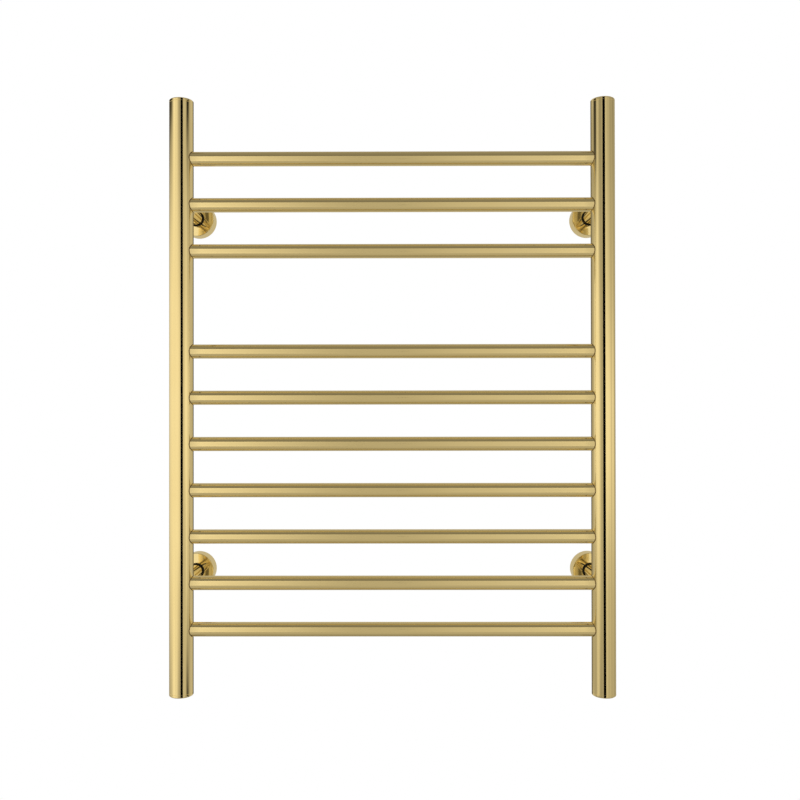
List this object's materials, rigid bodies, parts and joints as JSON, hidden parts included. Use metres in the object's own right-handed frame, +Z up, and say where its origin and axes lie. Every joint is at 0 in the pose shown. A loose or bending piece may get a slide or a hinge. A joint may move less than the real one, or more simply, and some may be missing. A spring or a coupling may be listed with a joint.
{
  "type": "towel warmer rack",
  "caption": "Wall-hung electric ladder towel warmer in polished brass: round bars between two round uprights, on posts with sliding cover roses.",
  "frame": {"origin": "on the wall plane, midway between the uprights, at half the height of the uprights", "axes": "+X to the right seen from the room, +Y into the wall, +Z up"},
  "size_m": [0.618, 0.116, 0.8],
  "materials": {
    "upright_brass": "polished",
    "bar_brass": "polished",
    "cap_brass": "polished",
    "post_brass": "polished",
    "rose_brass": "polished",
    "bracket_steel": "zinc plated",
    "screw_steel": "satin",
    "black_rubber": "matt",
    "cable_jacket": "matt",
    "ivory_plastic": "moulded",
    "splice_sleeve": "heat-shrunk",
    "terminal_brass": "turned",
    "tinned_copper": "tinned"
  },
  "bodies": {
    "rack": {"left_upright": "upright_brass", "right_upright": "upright_brass", "bar_01": "bar_brass", "bar_02": "bar_brass", "bar_03": "bar_brass", "bar_04": "bar_brass", "bar_05": "bar_brass", "bar_06": "bar_brass", "bar_07": "bar_brass", "bar_08": "bar_brass", "bar_09": "bar_brass", "bar_10": "bar_brass", "cap_top_left": "cap_brass", "cap_top_right": "cap_brass", "cap_bottom_left": "cap_brass", "cap_bottom_right": "cap_brass", "post_top_left": "post_brass", "post_top_right": "post_brass", "post_bottom_left": "post_brass", "post_bottom_right": "post_brass", "wall_plate_top_left": "bracket_steel", "wall_plate_top_right": "bracket_steel", "wall_plate_bottom_left": "bracket_steel", "wall_plate_bottom_right": "bracket_steel", "heating_cable": "cable_jacket", "thermal_cutout": "ivory_plastic", "cable_splices": "splice_sleeve", "cable_grommet": "black_rubber", "earth_stud": "terminal_brass", "earth_tag": "tinned_copper", "earth_nut": "terminal_brass"},
    "rose_top_left": {"cover_rose_top_left": "rose_brass", "o_ring_top_left": "black_rubber"},
    "rose_top_right": {"cover_rose_top_right": "rose_brass", "o_ring_top_right": "black_rubber"},
    "rose_bottom_left": {"cover_rose_bottom_left": "rose_brass", "o_ring_bottom_left": "black_rubber"},
    "rose_bottom_right": {"cover_rose_bottom_right": "rose_brass", "o_ring_bottom_right": "black_rubber"},
    "screw_top_left": {"grub_screw_top_left": "screw_steel"},
    "screw_top_right": {"grub_screw_top_right": "screw_steel"},
    "screw_bottom_left": {"grub_screw_bottom_left": "screw_steel"},
    "screw_bottom_right": {"grub_screw_bottom_right": "screw_steel"}
  },
  "joints": [
    {"name": "rose_slide_top_left", "type": "slide", "parent": "rack", "child": "rose_top_left", "axis": [0, -1, 0], "range_m": [0, 0.06]},
    {"name": "rose_slide_top_right", "type": "slide", "parent": "rack", "child": "rose_top_right", "axis": [0, -1, 0], "range_m": [0, 0.06]},
    {"name": "rose_slide_bottom_left", "type": "slide", "parent": "rack", "child": "rose_bottom_left", "axis": [0, -1, 0], "range_m": [0, 0.06]},
    {"name": "rose_slide_bottom_right", "type": "slide", "parent": "rack", "child": "rose_bottom_right", "axis": [0, -1, 0], "range_m": [0, 0.06]},
    {"name": "grub_screw_top_left_out", "type": "slide", "parent": "rack", "child": "screw_top_left", "axis": [0, 0, -1], "range_m": [0, 0.0007]},
    {"name": "grub_screw_top_right_out", "type": "slide", "parent": "rack", "child": "screw_top_right", "axis": [0, 0, -1], "range_m": [0, 0.0007]},
    {"name": "grub_screw_bottom_left_out", "type": "slide", "parent": "rack", "child": "screw_bottom_left", "axis": [0, 0, -1], "range_m": [0, 0.0007]},
    {"name": "grub_screw_bottom_right_out", "type": "slide", "parent": "rack", "child": "screw_bottom_right", "axis": [0, 0, -1], "range_m": [0, 0.0007]}
  ]
}
